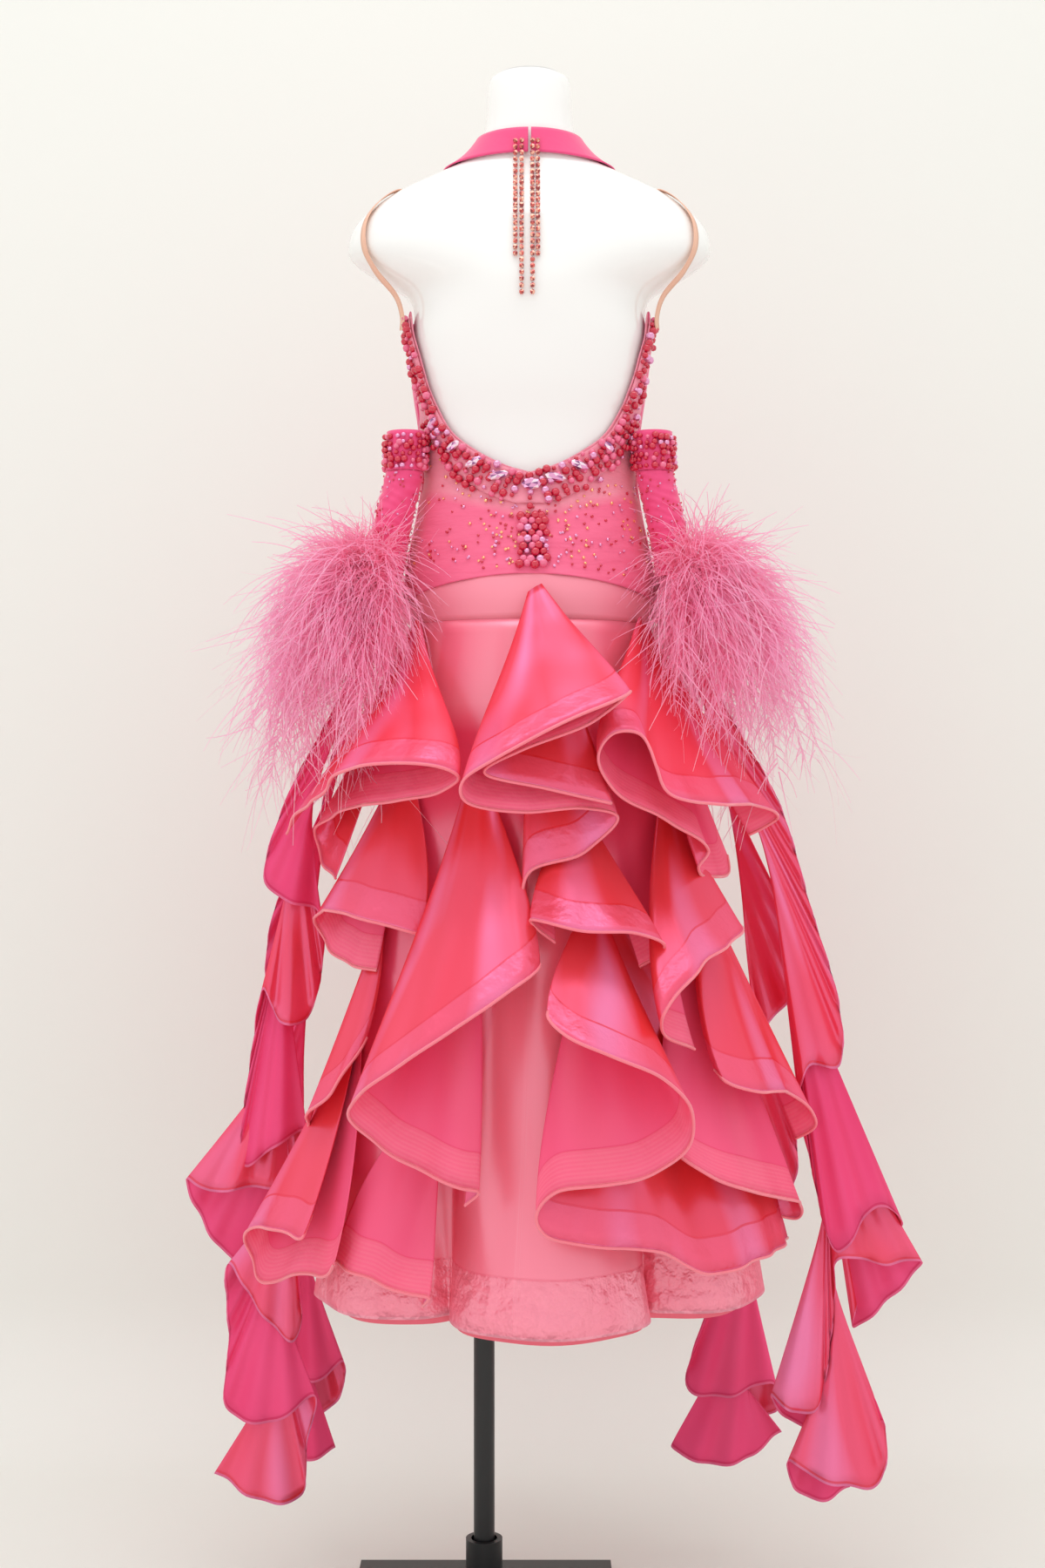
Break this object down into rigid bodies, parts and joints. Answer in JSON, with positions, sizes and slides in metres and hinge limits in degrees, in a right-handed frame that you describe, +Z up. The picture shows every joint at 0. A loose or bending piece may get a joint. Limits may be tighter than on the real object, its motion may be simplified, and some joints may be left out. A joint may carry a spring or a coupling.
{
  "type": "ballroom dance gown on a dress form stand",
  "caption": "Backless ballroom gown with beaded neckline, tiers of curling satin flounces, organza skirt and feathered armlets with long floats, on a limbless form and swivelling stand.",
  "frame": {"origin": "underside of the stand's plate, on the pole's axis", "axes": "+Z up; the gown's open back faces -Y and its front +Y; +X is to the right seen from behind"},
  "size_m": [0.837, 0.6405, 1.757],
  "materials": {
    "satin": "glossy satin with a rolled hem",
    "organza": "fine sheer organza over a plain layer",
    "mesh": "stretch mesh, gathered",
    "lycra": "smooth stretch cloth with a low sheen",
    "elastic": "narrow skin-toned elastic",
    "feather": "soft drooping feather strands",
    "pearl": "dark lustrous beads",
    "stone": "cut glass stones in a cup chain",
    "form": "smooth glossy white shell",
    "metal": "satin black paint"
  },
  "bodies": {
    "base": {"stand_plate": "metal", "stand_sleeve": "metal"},
    "figure": {"back_panel": "mesh", "bead_band": "pearl", "bead_cluster": "pearl", "bodice_front": "mesh", "collar": "mesh", "cuff_left": "pearl", "cuff_right": "pearl", "dress_form": "form", "feathers_left": "feather", "feathers_right": "feather", "float_left_inner": "satin", "float_left_outer": "satin", "float_right_inner": "satin", "float_right_outer": "satin", "flounce_back_centre": "satin", "flounce_centre_second": "satin", "flounce_front_centre": "satin", "flounce_front_centre_second": "satin", "flounce_front_left_high": "satin", "flounce_front_left_second": "satin", "flounce_front_left_third": "satin", "flounce_front_middle_second": "satin", "flounce_front_right_high": "satin", "flounce_front_right_low": "satin", "flounce_front_right_second": "satin", "flounce_left_high": "satin", "flounce_left_low": "satin", "flounce_left_second": "satin", "flounce_left_strip": "satin", "flounce_left_third": "satin", "flounce_middle_second": "satin", "flounce_right_high": "satin", "flounce_right_inside": "satin", "flounce_right_second": "satin", "flounce_right_side": "satin", "flounce_right_third": "satin", "hip_yoke": "lycra", "skirt_outer": "organza", "skirt_under": "organza", "sleeve_left": "mesh", "sleeve_right": "mesh", "stand_pole": "metal", "stone_chains": "stone", "strap_left": "elastic", "strap_right": "elastic"}
  },
  "joints": [
    {"name": "stand_swivel", "type": "hinge", "parent": "base", "child": "figure", "pos_m": [0, 0, 0.04], "axis": [0, 0, 1], "continuous": true}
  ]
}
